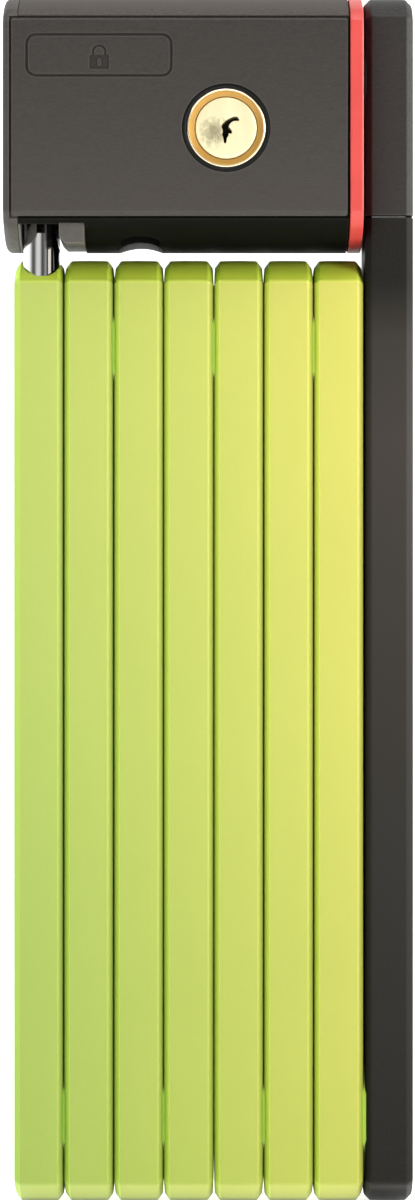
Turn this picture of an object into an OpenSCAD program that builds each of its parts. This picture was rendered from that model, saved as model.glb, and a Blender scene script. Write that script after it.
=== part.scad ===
// Folding link lock, folded: seven sleeved steel bars stacked side by side,
// a longer outer bar, and a lock case that swivels on the outer bar's top.
// Millimetres, +Z up, front towards -Y, origin at the bottom centre.

/* [Bars] */
// height of a folded bar, end to end
bar_h = 142.4; // [120:0.1:180]
// width of a bar, front to back
bar_w = 20; // [16:0.5:26]
// thickness of a bar with its sleeve
bar_t = 7.44; // [5:0.02:9]
// distance between the centres of neighbouring bars
pitch = 7.5; // [6:0.1:10]
// number of short bars
bar_n = 7; // [7:1:7]
// radius of the rounded bar ends
end_r = 16; // [12:0.5:24]
// distance from a bar's end to its pivot
pivot_in = 13.5; // [10:0.5:18]
// chamfer along the sleeve's edges
edge_c = 0.6; // [0.2:0.1:1.2]

/* [Steel cores] */
// thickness of the hardened bar
core_t = 5; // [4:0.1:6]
// width of the hardened bar
core_w = 16.4; // [12:0.1:18]
// margin of sleeve beyond the core's end
core_in = 3; // [2:0.1:5]
// radius of a rivet's shank
rivet_r = 4; // [2.5:0.1:5]
// radius of a rivet's head
rivet_head_r = 5.6; // [4:0.1:7]
// thickness of a rivet's head
rivet_head_t = 1.1; // [0.6:0.1:2]
// running clearance round a rivet
run = 0.05; // [0.02:0.01:0.1]
// radius of the pivot spacer between bars
spacer_r = 9.6; // [7:0.1:10]
// depth a spacer is let into each sleeve
spacer_in = 0.2; // [0.1:0.05:0.4]

/* [Outer bar] */
// height of the outer bar
outer_h = 182; // [160:0.5:220]
// thickness of the outer bar
outer_t = 7.2; // [6:0.1:9]
// height where the pivot cap starts
cap_z = 148.5; // [140:0.5:160]
// height of the swivel axis
swivel_z = 169.5; // [160:0.5:175]

/* [Lock case] */
// left end of the case
case_x0 = -30.65; // [-34:0.05:-28]
// right end of the case body
case_x1 = 20.85; // [18:0.05:24]
// depth of the case, front to back
case_d = 32; // [28:0.5:38]
// lowest point of the case
case_z0 = 143.7; // [143:0.1:150]
// highest point of the case
case_z1 = 182; // [175:0.5:190]
// radius of the case's arched top and bottom
arch_r = 34; // [26:0.5:60]
// thickness of the coloured side plate
plate_t = 2; // [1:0.1:3]
// thickness of the front cover
cover_t = 1.2; // [0.8:0.1:2]
// width of the seam round the cover
seam = 0.35; // [0.2:0.05:0.6]

/* [Lock cylinder] */
// sideways position of the cylinder
cyl_x = 2.6; // [-6:0.1:6]
// height of the cylinder
cyl_z = 161.2; // [156:0.1:166]
// radius of the dark outer ring
ring_r = 6.55; // [6:0.05:8]
// radius of the cylinder housing
housing_r = 5.9; // [5:0.05:7]
// radius of the turning plug
plug_r = 4.575; // [3.5:0.025:5.5]
// throw radius of the cam pin
cam_r = 3.5; // [2.5:0.1:4]

/* [Bolt head] */
// sideways centre of the bolt head
head_x = -25.2; // [-26:0.1:-24]
// thickness of the bolt head
head_t = 5.5; // [4:0.1:6]
// reach of the nose from the bar's top pivot
nose_r = 20.6; // [19:0.1:21]

/* [Hidden] */
$fn = 96;
bar_x = [for (k = [0:7]) -25.5 + pitch * (k - 1)];
low_z = pivot_in;
top_z = bar_h - pivot_in;
outer_x0 = 23.45;
outer_x1 = outer_x0 + outer_t;
outer_c = (outer_x0 + outer_x1) / 2;
half_w = bar_w / 2;
half_d = case_d / 2;
head_pivot_z = top_z;
screw_at_xz = [[-14.5, 170.2], [14.5, 152.5]];
lime = [0.78, 0.86, 0.42];
black = [0.08, 0.08, 0.08];
steel = [0.72, 0.73, 0.75];
brass = [0.85, 0.66, 0.32];
red = [0.86, 0.25, 0.22];

// a slab from x0 to x1 with rounded upper and lower ends
module bar(x0, x1, w, z0, z1, r) {
  intersection() {
    translate([x0, -w, z0]) cube([x1 - x0, 2 * w, z1 - z0]);
    union() {
      translate([x0 - 1, 0, z1 - r]) rotate([0, 90, 0]) cylinder(h = x1 - x0 + 2, r = r);
      translate([x0 - 1, 0, z0 + r]) rotate([0, 90, 0]) cylinder(h = x1 - x0 + 2, r = r);
      translate([x0 - 1, -r + 0.5, z0 + r]) cube([x1 - x0 + 2, 2 * r - 1, z1 - z0 - 2 * r]);
    }
  }
}

// the chamfered column that trims a bar's four long edges
module trim(x0, x1, w, h, c) {
  translate([0, 0, -1]) linear_extrude(height = h + 2)
    polygon([[x0 + c, -w], [x1 - c, -w], [x1, -w + c], [x1, w - c], [x1 - c, w], [x0 + c, w], [x0, w - c], [x0, -w + c]]);
}

module xcyl(x0, x1, z, r, y = 0) {
  translate([x0, y, z]) rotate([0, 90, 0]) cylinder(h = x1 - x0, r = r);
}

module ycyl(y0, y1, x, z, r) {
  translate([x, y0, z]) rotate([-90, 0, 0]) cylinder(h = y1 - y0, r = r);
}

// which pivot joins bar k to bar k-1: bottom for even k and for the outer bar
function joint_z(k) = (k % 2 == 0) ? low_z : top_z;
function left_x(k) = bar_x[k] - bar_t / 2;
function right_x(k) = bar_x[k] + bar_t / 2;
function far_right(k) = (k == 8) ? outer_c + core_t / 2 : bar_x[k] + core_t / 2;

// hardened bar with one bore for the rivet it carries and one running bore
module core_of(k) {
  difference() {
    bar(bar_x[k] - core_t / 2, bar_x[k] + core_t / 2, core_w / 2, core_in, bar_h - core_in, end_r - core_in);
    if (k > 1) xcyl(left_x(k) - 1, right_x(k) + 1, joint_z(k), rivet_r + 0.02);
    xcyl(left_x(k) - 1, right_x(k) + 1, joint_z(k + 1), rivet_r + run);
    xcyl(left_x(k) - 1, bar_x[k] - core_t / 2 + rivet_head_t + 0.15, joint_z(k + 1), rivet_head_r + 0.15);
  }
}

// coloured sleeve, closed round the core, open only at the pivots
module sleeve_of(k) {
  difference() {
    intersection() {
      bar(left_x(k), right_x(k), half_w, 0, bar_h, end_r);
      trim(left_x(k), right_x(k), half_w, bar_h, edge_c);
    }
    bar(bar_x[k] - core_t / 2 - 0.05, bar_x[k] + core_t / 2 + 0.05, core_w / 2 + 0.05, core_in - 0.05, bar_h - core_in + 0.05, end_r - core_in + 0.05);
    if (k > 1) xcyl(left_x(k) - 1, bar_x[k], joint_z(k), rivet_r + 0.3);
    xcyl(bar_x[k], right_x(k) + 1, joint_z(k + 1), rivet_r + 0.3);
    // shallow seats for the pivot spacers
    if (k > 1) xcyl(left_x(k) - 1, left_x(k) + spacer_in, joint_z(k), spacer_r + 0.02);
    xcyl(right_x(k) - spacer_in - 0.05, right_x(k) + 1, joint_z(k + 1), spacer_r + 0.15);
  }
}

// rivet held by the bar on its right, headed inside the bar on its left
module rivet_of(k) {
  x_head = bar_x[k - 1] - core_t / 2;
  xcyl(x_head, x_head + rivet_head_t, joint_z(k), rivet_head_r);
  xcyl(x_head + rivet_head_t / 2, far_right(k), joint_z(k), rivet_r);
}

// round spacer that fills the gap at a pivot
module spacer_of(k) {
  x1 = (k == 8) ? outer_x0 : left_x(k);
  difference() {
    xcyl(right_x(k - 1) - spacer_in, x1 + spacer_in, joint_z(k), spacer_r);
    xcyl(x1 - 1, x1 + 1, joint_z(k), rivet_r + 0.3);
  }
}

// side outline of the lock case, from x0 to x1
module case_body(x0, x1) {
  h = x1 - x0;
  intersection() {
    translate([x0, -half_d, case_z0 - 1]) cube([h, 2 * half_d, case_z1 - case_z0 + 2]);
    xcyl(x0 - 1, x1 + 1, case_z1 - arch_r, arch_r);
    xcyl(x0 - 1, x1 + 1, case_z0 + arch_r, arch_r);
    xcyl(x0 - 1, x1 + 1, 163, 21.4);
  }
}

// space for the bolt head: open at the back and below, roof round the swivel axis
module socket_space(x0, x1) {
  difference() {
    translate([x0, -14.2, case_z0 - 2]) cube([x1 - x0, 40, 18]);
    xcyl(x0 - 1, x1 + 1, swivel_z, 19.4);
  }
}

module cover_recess(y_in) {
  translate([-29.7, -half_d - 2, 147.75]) cube([60, half_d + 2 - y_in, 30.15]);
}

module outer_core() {
  color(steel) difference() {
    bar(outer_c - core_t / 2, outer_c + core_t / 2, core_w / 2, core_in, outer_h - core_in, end_r - core_in);
    xcyl(outer_x0 - 1, outer_x1 + 1, low_z, rivet_r + 0.02);
    xcyl(outer_x0 - 1, outer_x1 + 1, swivel_z, rivet_r + 0.02);
  }
}

module outer_solid(z0, z1) {
  intersection() {
    difference() {
      intersection() {
        bar(outer_x0, outer_x1, half_w, 0, outer_h, end_r);
        trim(outer_x0, outer_x1, half_w, outer_h, 0.9);
      }
      bar(outer_c - core_t / 2 - 0.05, outer_c + core_t / 2 + 0.05, core_w / 2 + 0.05, core_in - 0.05, outer_h - core_in + 0.05, end_r - core_in + 0.05);
    }
    translate([outer_x0 - 1, -half_w - 1, z0]) cube([outer_t + 2, bar_w + 2, z1 - z0]);
  }
}

module outer_sleeve() {
  color(black) difference() {
    outer_solid(-1, cap_z - 0.2);
    xcyl(outer_x0 - 1, outer_c, low_z, rivet_r + 0.3);
    xcyl(outer_x0 - 1, outer_x0 + spacer_in, low_z, spacer_r + 0.02);
  }
}

module pivot_cap() {
  color(black) difference() {
    outer_solid(cap_z + 0.2, outer_h + 1);
    xcyl(outer_x0 - 1, outer_c, swivel_z, rivet_r + 0.3);
  }
}

module swivel_pin() {
  color(steel) {
    xcyl(12, 13.5, swivel_z, 5.6);
    xcyl(12.7, outer_c + core_t / 2, swivel_z, rivet_r);
  }
}

module swivel_washer() {
  color(black) difference() {
    xcyl(outer_x0 - 0.3, outer_x0, swivel_z, spacer_r);
    xcyl(outer_x0 - 1, outer_x0 + 1, swivel_z, rivet_r + 0.3);
  }
}

module rivet_8() { color(steel) rivet_of(8); }
module spacer_8() { color(lime) spacer_of(8); }
module core_7() { color(steel) core_of(7); }
module sleeve_7() { color(lime) sleeve_of(7); }
module rivet_7() { color(steel) rivet_of(7); }
module spacer_7() { color(lime) spacer_of(7); }
module core_6() { color(steel) core_of(6); }
module sleeve_6() { color(lime) sleeve_of(6); }
module rivet_6() { color(steel) rivet_of(6); }
module spacer_6() { color(lime) spacer_of(6); }
module core_5() { color(steel) core_of(5); }
module sleeve_5() { color(lime) sleeve_of(5); }
module rivet_5() { color(steel) rivet_of(5); }
module spacer_5() { color(lime) spacer_of(5); }
module core_4() { color(steel) core_of(4); }
module sleeve_4() { color(lime) sleeve_of(4); }
module rivet_4() { color(steel) rivet_of(4); }
module spacer_4() { color(lime) spacer_of(4); }
module core_3() { color(steel) core_of(3); }
module sleeve_3() { color(lime) sleeve_of(3); }
module rivet_3() { color(steel) rivet_of(3); }
module spacer_3() { color(lime) spacer_of(3); }
module core_2() { color(steel) core_of(2); }
module sleeve_2() { color(lime) sleeve_of(2); }
module rivet_2() { color(steel) rivet_of(2); }
module spacer_2() { color(lime) spacer_of(2); }

// the last bar's core stops below the bolt head welded on it
module core_1() {
  color(steel) difference() {
    core_of(1);
    translate([-40, -20, 132]) cube([20, 40, 30]);
  }
}

module sleeve_1() {
  color(lime) difference() {
    sleeve_of(1);
    // scooped mouth that the bolt head stands in
    translate([head_x, 15, 139.8]) rotate([90, 0, 0]) linear_extrude(height = 30)
      polygon([[-3.2, 1.6], [-2.4, 0.4], [-1.4, 0], [1.4, 0], [2.4, 0.4], [3.2, 1.6], [3.3, 6], [-3.3, 6]]);
    translate([head_x - head_t / 2 - 0.05, -core_w / 2 - 0.05, 131.9]) cube([head_t + 0.1, core_w + 0.1, 12]);
  }
}

// bolt head: rounded front and back, nose tapered in front with a slot, full width behind
module bolt_head() {
  color(steel) intersection() {
    translate([head_x - head_t / 2, -core_w / 2, 132.1]) cube([head_t, core_w, 25]);
    union() {
      translate([head_x, -5, 131]) cylinder(h = 30, r = 3.2);
      translate([head_x, 5, 131]) cylinder(h = 30, r = 3.2);
      translate([head_x - 3, -5.2, 131]) cube([6, 10.4, 30]);
    }
    xcyl(head_x - 5, head_x + 5, head_pivot_z, nose_r);
    union() {
      difference() {
        translate([head_x, 1.5, 0]) rotate([90, 0, 0]) linear_extrude(height = 15)
          polygon([[-2.9, 131], [2.9, 131], [2.9, 138.4], [2.6, 139], [2.6, 143.6], [2.5, 144.4], [2.3, 145.3], [1.9, 146.3], [1.3, 147.3], [1.1, 148.2], [1, 151],
            [-1, 151], [-1.1, 148.2], [-1.3, 147.3], [-1.9, 146.3], [-2.4, 145.2], [-2.7, 144.2], [-2.9, 143.2]]);
        translate([head_x - 0.65, -20, 146.1]) cube([1.3, 21.4, 10]);
      }
      translate([head_x - 4, 1.4, 131]) cube([8, 10, 7.6]);
      translate([head_x - 4, 1.4, 138]) cube([6.6, 10, 5.2]);
      translate([head_x - 2.75, 1.4, 142]) cube([5.3, 10, 20]);
    }
  }
}

// main case: cavities for cylinder, swivel pin, bolt head and works
module case_shell() {
  color(black) difference() {
    case_body(-28.4, case_x1);
    cover_recess(14.8);
    socket_space(-28.1, -22.35);
    // notch for the liner
    translate([-22.4, -13.9, 140]) cube([3.9, 40, 13]);
    translate([-22.4, -14.2, 140]) cube([3.9, 2, 7]);
    // arched relief over the third bar
    ycyl(-8, 40, -10.2, 139.8, 5);
    translate([-10.2, -8, 140]) cylinder(h = 6.8, r = 3.1);
    // cylinder and ring
    ycyl(-half_d - 1, 8, cyl_x, cyl_z, housing_r + 0.03);
    ycyl(-half_d - 1, -12.5, cyl_x, cyl_z, ring_r + 0.03);
    // works cavity, open to the back
    translate([-17, 7.7, 145.9]) cube([28, 20, 21.3]);
    // deadbolt channel
    translate([-25, 9.5, 145.9]) cube([12, 20, 5]);
    // swivel pin and its head
    xcyl(13.2, 30, swivel_z, rivet_r + run);
    xcyl(11.6, 13.9, swivel_z, 5.9);
    // seat of the back cover
    translate([-18.4, 14.3, 145]) cube([36.8, 10, 28.4]);
    // tapped screw holes
    for (p = screw_at_xz) ycyl(5, 40, p[0], p[1], 1.25);
  }
}

module case_end_cap() {
  color(black) difference() {
    case_body(case_x0, -28.45);
    cover_recess(14.8);
  }
}

module front_cover() {
  color([0.3, 0.28, 0.26]) difference() {
    intersection() {
      case_body(-29.35, 20.65);
      translate([-29.35, -half_d - 1, 148.15]) cube([50, 1 + 1.2, 29.35]);
    }
    ycyl(-half_d - 1, 0, cyl_x, cyl_z, ring_r + 0.03);
    // shallow bar-shaped recess
    translate([-25.8, -half_d - 1, 168.8]) cube([20.6, 1.35, 6.1]);
  }
}

// plain raised bar in the recess
module badge_bar() {
  color([0.3, 0.28, 0.26])
    translate([-25.4, -half_d + 0.1, 169.2]) cube([19.8, 0.25, 5.3]);
}

module rear_cover() {
  color(black) difference() {
    intersection() {
      case_body(-18.1, 18.1);
      translate([-18.1, 14.35, 145]) cube([36.2, 10, 28.1]);
    }
    for (p = screw_at_xz) {
      ycyl(10, 20, p[0], p[1], 1.45);
      ycyl(14.95, 20, p[0], p[1], 2.35);
    }
  }
}

module side_plate() {
  color(red) difference() {
    case_body(21.05, 21.05 + plate_t);
    xcyl(15, 30, swivel_z, rivet_r + 0.3);
  }
}

// lighter insert beside the bolt head, bored for the deadbolt
module socket_liner() {
  color([0.45, 0.45, 0.45]) difference() {
    intersection() {
      union() {
        translate([-22.35, -13.8, 144.2]) cube([3.75, 18.3, 8.6]);
        intersection() {
          translate([-22.35, 4, 143]) cube([3.75, 9.8, 9.8]);
          case_body(-23, -18);
        }
      }
      translate([0, 20, 0]) rotate([90, 0, 0]) linear_extrude(height = 40)
        polygon([[-22.35, 145.3], [-21, 143.6], [-18.6, 143.6], [-18.6, 152.8], [-22.35, 152.8]]);
    }
    translate([-25, 9.5, 145.9]) cube([12, 4.8, 5]);
  }
}

module cylinder_ring() {
  color(black) difference() {
    ycyl(-half_d, -12.6, cyl_x, cyl_z, ring_r);
    ycyl(-half_d - 1, -12, cyl_x, cyl_z, housing_r + 0.02);
  }
}

module cylinder_housing() {
  color(brass) difference() {
    ycyl(-half_d + 0.05, 7.5, cyl_x, cyl_z, housing_r);
    ycyl(-half_d - 1, 8, cyl_x, cyl_z, plug_r + run);
  }
}

module screw_upper() {
  color(steel) screw_at(screw_at_xz[0][0], screw_at_xz[0][1]);
}
module screw_lower() {
  color(steel) screw_at(screw_at_xz[1][0], screw_at_xz[1][1]);
}
module screw_at(x, z) {
  difference() {
    union() {
      ycyl(7, 15.2, x, z, 1.2);
      ycyl(15, 15.8, x, z, 2.2);
    }
    translate([x - 1.6, 15.4, z - 0.25]) cube([3.2, 1, 0.5]);
  }
}

// turning plug with a stepped keyway
module plug() {
  color([0.95, 0.85, 0.6]) difference() {
    ycyl(-half_d + 0.2, 7.4, cyl_x, cyl_z, plug_r);
    translate([cyl_x, 4, cyl_z]) rotate([90, 0, 0]) linear_extrude(height = 30)
      polygon([[1.6, 1.75], [0.75, 2.05], [-0.85, 0.9], [-0.85, -2.6], [0.1, -2.75], [0.1, -1.35], [1.05, -1.15], [1.05, -0.6],
        [0.1, -0.35], [0.1, 0.45], [1.9, 1.35]]);
  }
}

// cam disc and its off-centre pin
module cam() {
  color(steel) {
    ycyl(7.9, 9.1, cyl_x, cyl_z, 5.2);
    ycyl(7.4, 8.0, cyl_x, cyl_z, 1.5);
    ycyl(9.0, 12.2, cyl_x + cam_r * cos(45), cyl_z - cam_r * sin(45), 1.2);
  }
}

// sliding bolt with the upright yoke that the cam pin drives
module deadbolt() {
  color(steel) difference() {
    union() {
      translate([-21.9, 9.8, 146.2]) cube([31, 4.1, 4.3]);
      translate([cyl_x + 2.475 - 3.4, 9.8, 150]) cube([6.8, 2.1, 12.2]);
    }
    translate([cyl_x + 2.475 - 1.4, 9, 155.9]) cube([2.8, 4, 4.6]);
  }
}

outer_core();
outer_sleeve();
pivot_cap();
swivel_pin();
swivel_washer();
rivet_8();
spacer_8();
core_7();
sleeve_7();
rivet_7();
spacer_7();
core_6();
sleeve_6();
rivet_6();
spacer_6();
core_5();
sleeve_5();
rivet_5();
spacer_5();
core_4();
sleeve_4();
rivet_4();
spacer_4();
core_3();
sleeve_3();
rivet_3();
spacer_3();
core_2();
sleeve_2();
rivet_2();
spacer_2();
core_1();
sleeve_1();
bolt_head();
case_shell();
case_end_cap();
front_cover();
rear_cover();
side_plate();
socket_liner();
cylinder_ring();
cylinder_housing();
badge_bar();
screw_upper();
screw_lower();
plug();
cam();
deadbolt();
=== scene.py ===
import math

import bmesh
import bpy
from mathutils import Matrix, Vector


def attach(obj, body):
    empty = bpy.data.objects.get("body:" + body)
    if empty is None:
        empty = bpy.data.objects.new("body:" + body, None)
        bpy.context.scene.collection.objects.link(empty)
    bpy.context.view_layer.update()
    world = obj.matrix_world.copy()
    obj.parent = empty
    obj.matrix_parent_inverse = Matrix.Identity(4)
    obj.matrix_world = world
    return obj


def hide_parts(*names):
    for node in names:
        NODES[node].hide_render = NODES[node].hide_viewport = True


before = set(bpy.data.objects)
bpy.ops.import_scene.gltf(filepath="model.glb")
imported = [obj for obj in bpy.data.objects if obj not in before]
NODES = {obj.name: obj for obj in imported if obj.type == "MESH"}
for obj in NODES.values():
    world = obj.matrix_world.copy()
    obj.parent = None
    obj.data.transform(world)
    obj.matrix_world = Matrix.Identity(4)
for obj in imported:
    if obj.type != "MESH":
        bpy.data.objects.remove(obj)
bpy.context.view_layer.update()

MM = 0.001
scene = bpy.context.scene


# ---------------------------------------------------------------- materials
class Mat:
    """A small helper that wires up one procedural material."""

    def __init__(self, name):
        self.m = bpy.data.materials.new(name)
        self.m.use_nodes = True
        self.t = self.m.node_tree
        self.t.nodes.clear()
        self.out = self.t.nodes.new("ShaderNodeOutputMaterial")
        self.b = self.t.nodes.new("ShaderNodeBsdfPrincipled")
        self.t.links.new(self.b.outputs[0], self.out.inputs[0])
        self.co = self.t.nodes.new("ShaderNodeTexCoord").outputs["Object"]

    def link(self, a, b):
        self.t.links.new(a, b)

    def mapping(self, scale=(1, 1, 1), loc=(0, 0, 0)):
        n = self.t.nodes.new("ShaderNodeMapping")
        n.inputs["Scale"].default_value = scale
        n.inputs["Location"].default_value = loc
        self.link(self.co, n.inputs["Vector"])
        return n.outputs[0]

    def noise(self, scale, detail=4, rough=0.55, distort=0.0, vec=None):
        n = self.t.nodes.new("ShaderNodeTexNoise")
        n.inputs["Scale"].default_value = scale
        n.inputs["Detail"].default_value = detail
        n.inputs["Roughness"].default_value = rough
        n.inputs["Distortion"].default_value = distort
        self.link(vec or self.co, n.inputs["Vector"])
        return n.outputs["Fac"]

    def voronoi(self, scale, feature="F1", vec=None, rand=1.0):
        n = self.t.nodes.new("ShaderNodeTexVoronoi")
        n.feature = feature
        n.inputs["Scale"].default_value = scale
        n.inputs["Randomness"].default_value = rand
        self.link(vec or self.co, n.inputs["Vector"])
        return n.outputs["Distance"]

    def ramp(self, fac, stops):
        n = self.t.nodes.new("ShaderNodeValToRGB")
        e = n.color_ramp.elements
        e[0].position, e[0].color = stops[0][0], (*stops[0][1], 1)
        e[1].position, e[1].color = stops[-1][0], (*stops[-1][1], 1)
        for p, c in stops[1:-1]:
            s = e.new(p)
            s.color = (*c, 1)
        self.link(fac, n.inputs[0])
        return n.outputs[0]

    def remap(self, fac, a0, a1, b0, b1):
        n = self.t.nodes.new("ShaderNodeMapRange")
        n.inputs[1].default_value, n.inputs[2].default_value = a0, a1
        n.inputs[3].default_value, n.inputs[4].default_value = b0, b1
        self.link(fac, n.inputs[0])
        return n.outputs[0]

    def math(self, op, a, b):
        n = self.t.nodes.new("ShaderNodeMath")
        n.operation = op
        for i, v in enumerate((a, b)):
            if isinstance(v, (int, float)):
                n.inputs[i].default_value = v
            else:
                self.link(v, n.inputs[i])
        return n.outputs[0]

    def mix(self, fac, a, b, mode="MIX"):
        n = self.t.nodes.new("ShaderNodeMix")
        n.data_type = "RGBA"
        n.blend_type = mode
        if isinstance(fac, (int, float)):
            n.inputs[0].default_value = fac
        else:
            self.link(fac, n.inputs[0])
        for i, v in ((6, a), (7, b)):
            if isinstance(v, tuple):
                n.inputs[i].default_value = (*v, 1)
            else:
                self.link(v, n.inputs[i])
        return n.outputs[2]

    def xyz(self):
        n = self.t.nodes.new("ShaderNodeSeparateXYZ")
        self.link(self.co, n.inputs[0])
        return n.outputs

    def edge_wear_and_highlight(self, radius=0.00035, lo=0.01, hi=0.12):
        """Mask that is 1 on sharp outer edges; the materials lighten these edges, partly as rubbed wear and partly as a
        painted edge highlight.
        """
        g = self.t.nodes.new("ShaderNodeNewGeometry")
        v = self.t.nodes.new("ShaderNodeBevel")
        v.samples = 4
        v.inputs["Radius"].default_value = radius
        d = self.t.nodes.new("ShaderNodeVectorMath")
        d.operation = "DOT_PRODUCT"
        self.link(v.outputs[0], d.inputs[0])
        self.link(g.outputs["Normal"], d.inputs[1])
        return self.remap(d.outputs["Value"], 1 - lo, 1 - hi, 0, 1)

    def cavity(self, distance=0.004, lo=0.25, hi=0.85):
        """0 deep in a crevice, 1 in the open."""
        a = self.t.nodes.new("ShaderNodeAmbientOcclusion")
        a.samples = 6
        a.inputs["Distance"].default_value = distance
        return self.remap(a.outputs["AO"], lo, hi, 0, 1)

    def bump(self, height, strength, distance, prev=None):
        n = self.t.nodes.new("ShaderNodeBump")
        n.inputs["Strength"].default_value = strength
        n.inputs["Distance"].default_value = distance
        self.link(height, n.inputs["Height"])
        if prev:
            self.link(prev, n.inputs["Normal"])
        return n.outputs[0]

    def set(self, **kw):
        names = {
            "color": "Base Color",
            "rough": "Roughness",
            "metal": "Metallic",
            "normal": "Normal",
            "spec": "Specular IOR Level",
            "coat": "Coat Weight",
            "coat_rough": "Coat Roughness",
            "sheen": "Sheen Weight",
            "sss": "Subsurface Weight",
            "aniso": "Anisotropic",
        }
        for k, v in kw.items():
            s = self.b.inputs[names[k]]
            if isinstance(v, (int, float)):
                s.default_value = v
            elif isinstance(v, tuple):
                s.default_value = (*v, 1)
            else:
                self.link(v, s)
        return self.m


def lime_material(name="sleeve_green", tint=None):
    """Soft-touch sleeve in yellow-green, with painted light and shade: yellower towards the outer bar, a lit top strip,
    a pale foot, darker towards the foot, greener left chamfers and darkened crevices.
    """
    k = Mat(name)
    x = k.xyz()[0]
    # painted light: the green turns yellower towards the outer bar, as if under warm light from that side
    side = k.remap(x, -0.029, 0.023, 0, 1)
    base = k.ramp(side, [(0, (0.350, 0.432, 0.092)), (0.5, (0.415, 0.458, 0.090)), (1, (0.515, 0.492, 0.092))])
    z = k.xyz()[2]
    # painted light: the top end above z 138.4 mm turns a brighter, more saturated green
    base = k.mix(k.remap(z, 0.1384, 0.1394, 0, 0.85), base, (0.60, 0.80, 0.050))
    # painted light: the foot below z 3.5 mm turns pale yellow, as if lit from below
    base = k.mix(k.remap(z, 0.0031, 0.0035, 0.24, 0), base, (0.80, 0.70, 0.32))
    cloud = k.noise(60, 3)
    base = k.mix(k.remap(cloud, 0.3, 0.7, 0.0, 0.10), base, (0.30, 0.40, 0.055))
    fine = k.noise(2600, 3, 0.6)
    pores = k.voronoi(3000)
    base = k.mix(k.remap(fine, 0.35, 0.7, 0, 0.05), base, (0.60, 0.66, 0.27))
    # painted shade: the sleeve is multiplied darker towards its foot
    tone = k.ramp(k.remap(z, 0.0, 0.14, 0, 1), [(0.03, (0.70, 0.78, 0.60)), (0.264, (0.76, 0.83, 0.73)), (0.507, (0.86, 0.91, 0.87)),
                                                (0.743, (0.95, 0.96, 0.98)), (1, (1.0, 1.0, 1.0))])
    base = k.mix(1.0, base, tone, "MULTIPLY")
    # painted light: left-facing chamfers are multiplied brighter and greener, like green light bounced from the
    # neighbouring bar
    t = k.t.nodes.new("ShaderNodeTexCoord")
    sep = k.t.nodes.new("ShaderNodeSeparateXYZ")
    k.link(t.outputs["Normal"], sep.inputs[0])
    flank = k.ramp(k.remap(sep.outputs[0], -1, 1, 0, 1), [(0.0, (0, 0, 0)), (0.03, (0, 0, 0)), (0.07, (1, 1, 1)), (0.32, (1, 1, 1)), (0.42, (0, 0, 0)), (1, (0, 0, 0))])
    base = k.mix(flank, base, (1.26, 1.42, 0.95), "MULTIPLY")
    if tint:
        base = k.mix(1.0, base, tint, "MULTIPLY")
    # painted shade: crevices and the gaps between bars darken to olive
    base = k.mix(k.cavity(0.0016, 0.12, 0.74), (0.048, 0.088, 0.002), base)
    h = k.math("ADD", k.math("MULTIPLY", fine, 0.6), k.math("MULTIPLY", pores, 0.4))
    return k.set(color=base, rough=k.remap(fine, 0.3, 0.7, 0.42, 0.52), spec=0.42, sss=0.0,
                 normal=k.bump(h, 0.12, 0.00008))


def black_material(name, tone=(0.012, 0.011, 0.010), rough=(0.42, 0.55), spec=0.35, grain=0.18, scale=2200, dirt_and_crevice_shade=None, top=None, painted_shading_by_height=None):
    k = Mat(name)
    fine = k.noise(scale, 4, 0.6)
    cloud = k.noise(90, 3)
    hi = tuple(c * 1.9 + 0.004 for c in tone)
    base = k.ramp(k.remap(cloud, 0.3, 0.7, 0, 1), [(0, tone), (1, tuple(c * 1.35 for c in tone))])
    base = k.mix(k.remap(fine, 0.45, 0.75, 0, 0.35), base, hi)
    # painted light and shade along the height: a ramp by z replaces the base colour
    if painted_shading_by_height:
        along = k.ramp(k.remap(k.xyz()[2], 0, 0.15, 0, 1), [(z / 0.15, c) for z, c in painted_shading_by_height])
        base = k.mix(k.remap(fine, 0.3, 0.75, 0.0, 0.35), along, hi)
    # painted light: lighter above the z range given by top, as on a top lit from above
    if top:
        base = k.mix(k.remap(k.xyz()[2], top[0], top[1], 0, 1), base, k.mix(k.remap(fine, 0.35, 0.75, 0, 1), top[2], top[3]))
    # lighter outer edges: partly rubbed wear, partly a painted edge highlight
    base = k.mix(k.math("MULTIPLY", k.edge_wear_and_highlight(), 0.6), base, tuple(c * 3 + 0.01 for c in tone))
    # painted shade: darker deep in crevices and between parts, from an ambient occlusion mask
    if dirt_and_crevice_shade:
        base = k.mix(k.cavity(*dirt_and_crevice_shade), tuple(c * 0.12 for c in tone), base)
    return k.set(color=base, rough=k.remap(fine, 0.3, 0.7, *rough), spec=spec,
                 normal=k.bump(fine, grain, 0.00012))


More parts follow.
